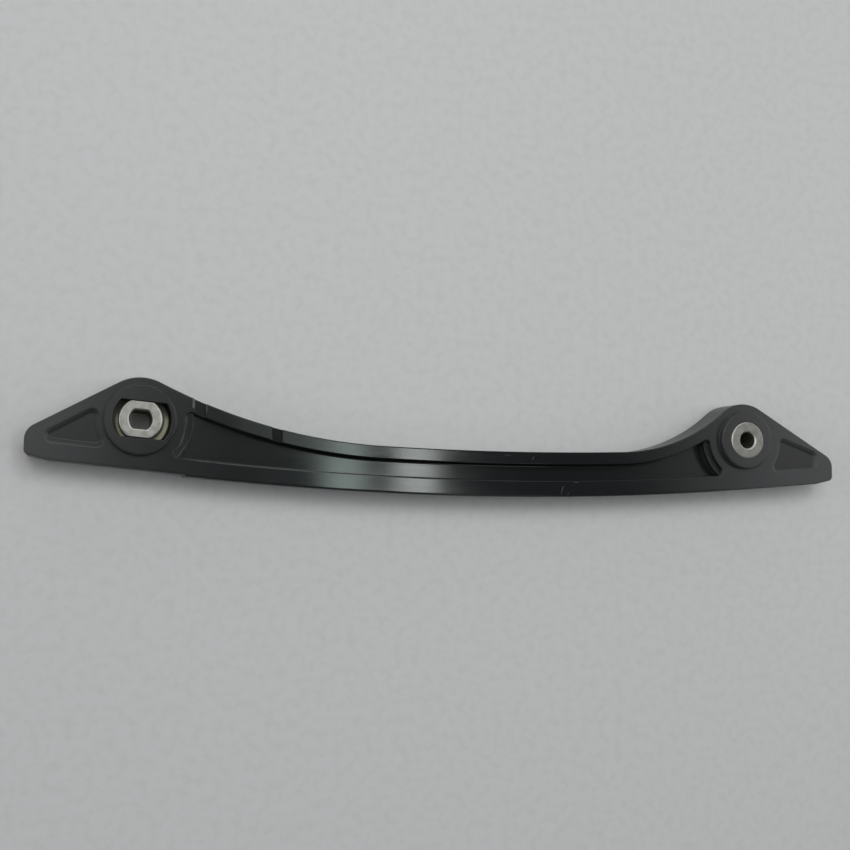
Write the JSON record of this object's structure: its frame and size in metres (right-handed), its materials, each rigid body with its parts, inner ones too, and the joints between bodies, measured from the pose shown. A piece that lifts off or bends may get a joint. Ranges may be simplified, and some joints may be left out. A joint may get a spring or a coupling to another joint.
{
  "type": "timing chain guide",
  "caption": "Bow-shaped black plastic timing chain guide: I-section rail with a convex running face and pointed heads, held by a fixed round steel bush and a sliding flatted bush.",
  "frame": {"origin": "the round bush's bolt axis on the guide's back face", "axes": "+X along the line from the slide bolt to the round bolt, +Y to the concave side, +Z along the bolts to the front"},
  "size_m": [0.3335, 0.0411, 0.0168],
  "materials": {
    "black_moulding": "satin moulded nylon",
    "bush_steel": "turned steel"
  },
  "bodies": {
    "rail": {"guide_rail": "black_moulding", "round_bush": "bush_steel"},
    "bush": {"slide_bush": "bush_steel"}
  },
  "joints": [
    {"name": "bush_slide", "type": "slide", "parent": "rail", "child": "bush", "axis": [0.9972, -0.075, 0], "range_m": [-0.0019, 0.0031]}
  ]
}
